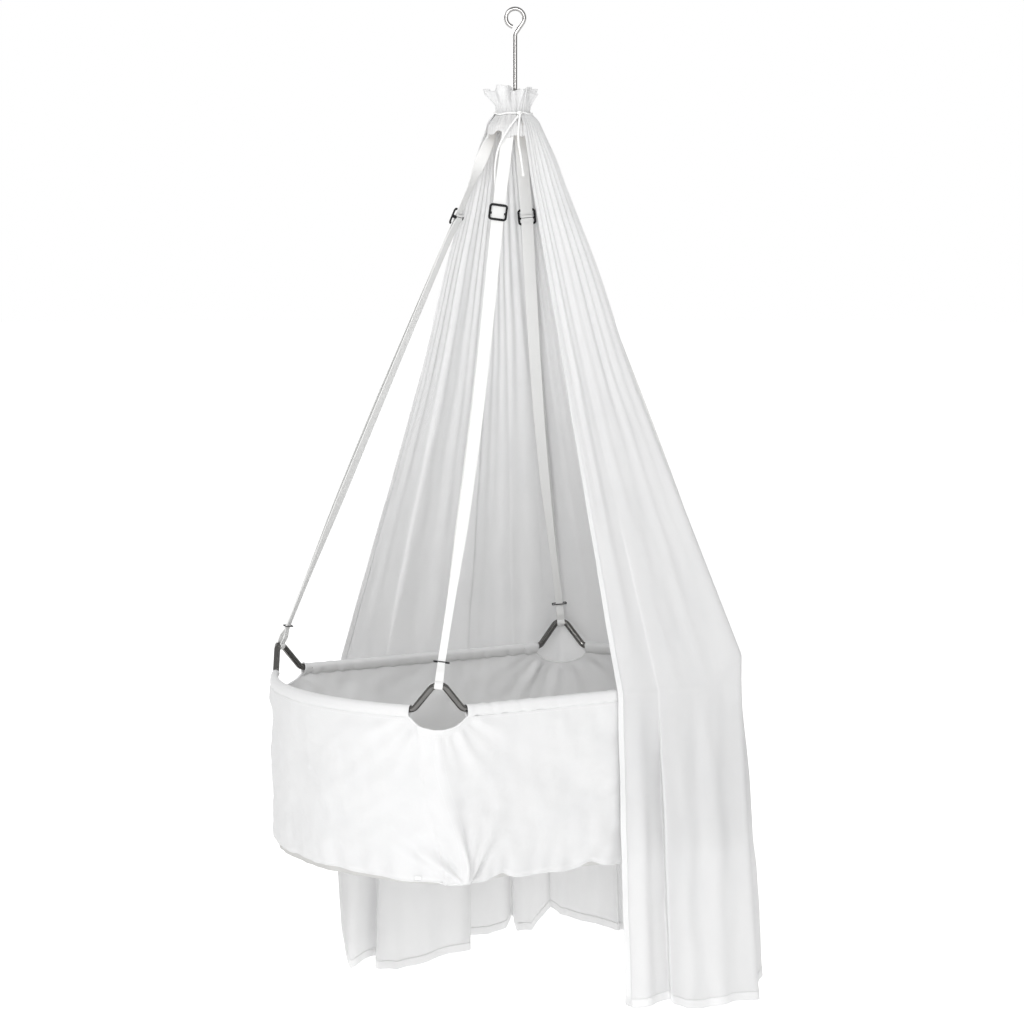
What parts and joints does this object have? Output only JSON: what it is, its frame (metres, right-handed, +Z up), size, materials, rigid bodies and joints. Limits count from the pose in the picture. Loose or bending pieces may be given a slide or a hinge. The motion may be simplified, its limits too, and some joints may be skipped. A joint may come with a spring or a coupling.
{
  "type": "baby cradle",
  "caption": "Hanging cradle: rod with an eye, webbing straps with slide buckles, bent tube rim, fabric tub and a draped gathered canopy.",
  "frame": {"origin": "centre of the hang rod's upper eye", "axes": "+Z up, +X along the cradle's long axis, +Y to its back, where the canopy hangs"},
  "size_m": [0.915, 0.686, 1.871],
  "materials": {
    "webbing": "matte",
    "buckle_black": "satin",
    "keeper_wire": "satin",
    "frame_steel": "satin",
    "spigot_steel": "satin",
    "rod_steel": "satin",
    "link_steel": "satin",
    "spreader_wood": "matte",
    "tub_cotton": "matte",
    "board_wood": "matte",
    "mattress_cover": "matte",
    "canopy_cotton": "matte",
    "tie_cotton": "matte"
  },
  "bodies": {
    "hanger": {"hang_rod": "rod_steel"},
    "ring": {"strap_ring": "link_steel"},
    "head": {"eye_bolt": "link_steel", "bolt_nut": "link_steel", "strap_spreader": "spreader_wood", "strap_front_left": "webbing", "strap_back_left": "webbing", "strap_back_right": "webbing", "strap_front_right": "webbing", "canopy": "canopy_cotton", "tie_cord": "tie_cotton", "tie_knot": "tie_cotton", "tie_tail_left": "tie_cotton", "tie_tail_right": "tie_cotton"},
    "cradle": {"rail_front": "frame_steel", "rail_back": "frame_steel", "rail_left_end": "frame_steel", "rail_right_end": "frame_steel", "spigot_front_left": "spigot_steel", "spigot_back_left": "spigot_steel", "spigot_back_right": "spigot_steel", "spigot_front_right": "spigot_steel", "tub_fabric": "tub_cotton", "base_board": "board_wood"},
    "mattress": {"mattress": "mattress_cover"},
    "buckle_front_left": {"buckle_front_left": "buckle_black"},
    "keeper_front_left": {"keeper_front_left": "keeper_wire"},
    "buckle_back_left": {"buckle_back_left": "buckle_black"},
    "keeper_back_left": {"keeper_back_left": "keeper_wire"},
    "buckle_back_right": {"buckle_back_right": "buckle_black"},
    "keeper_back_right": {"keeper_back_right": "keeper_wire"},
    "buckle_front_right": {"buckle_front_right": "buckle_black"},
    "keeper_front_right": {"keeper_front_right": "keeper_wire"}
  },
  "joints": [
    {"name": "swing_side", "type": "hinge", "parent": "hanger", "child": "ring", "pos_m": [0, 0, -0.168], "axis": [1, 0, 0], "range_deg": [-12, 12]},
    {"name": "swing_long", "type": "hinge", "parent": "ring", "child": "head", "pos_m": [0, 0, -0.1828], "axis": [0, 1, 0], "range_deg": [-12, 12]},
    {"name": "cradle_raise", "type": "slide", "parent": "head", "child": "cradle", "axis": [0, 0, 1], "range_m": [0, 0.035], "deforming": ["strap_front_left", "strap_back_left", "strap_back_right", "strap_front_right", "canopy"]},
    {"name": "mattress_lift", "type": "slide", "parent": "cradle", "child": "mattress", "axis": [0, 0, 1], "range_m": [0, 0.15]},
    {"name": "slide_buckle_front_left", "type": "slide", "parent": "head", "child": "buckle_front_left", "axis": [0.2909, 0.2423, 0.9256], "range_m": [0, 0.07]},
    {"name": "slide_keeper_front_left", "type": "slide", "parent": "cradle", "child": "keeper_front_left", "axis": [0.2909, 0.2423, 0.9256], "range_m": [0, 0.06]},
    {"name": "slide_buckle_back_left", "type": "slide", "parent": "head", "child": "buckle_back_left", "axis": [0.2901, -0.2621, 0.9204], "range_m": [0, 0.07]},
    {"name": "slide_keeper_back_left", "type": "slide", "parent": "cradle", "child": "keeper_back_left", "axis": [0.2901, -0.2621, 0.9204], "range_m": [0, 0.06]},
    {"name": "slide_buckle_back_right", "type": "slide", "parent": "head", "child": "buckle_back_right", "axis": [-0.2605, -0.2631, 0.9289], "range_m": [0, 0.07]},
    {"name": "slide_keeper_back_right", "type": "slide", "parent": "cradle", "child": "keeper_back_right", "axis": [-0.2605, -0.2631, 0.9289], "range_m": [0, 0.06]},
    {"name": "slide_buckle_front_right", "type": "slide", "parent": "head", "child": "buckle_front_right", "axis": [-0.261, 0.2431, 0.9342], "range_m": [0, 0.07]},
    {"name": "slide_keeper_front_right", "type": "slide", "parent": "cradle", "child": "keeper_front_right", "axis": [-0.261, 0.2431, 0.9342], "range_m": [0, 0.06]}
  ],
  "couplings": [
    {"joint": "slide_buckle_front_left", "follows": "cradle_raise", "ratio": 2},
    {"joint": "slide_buckle_back_left", "follows": "cradle_raise", "ratio": 2},
    {"joint": "slide_buckle_back_right", "follows": "cradle_raise", "ratio": 2},
    {"joint": "slide_buckle_front_right", "follows": "cradle_raise", "ratio": 2}
  ]
}
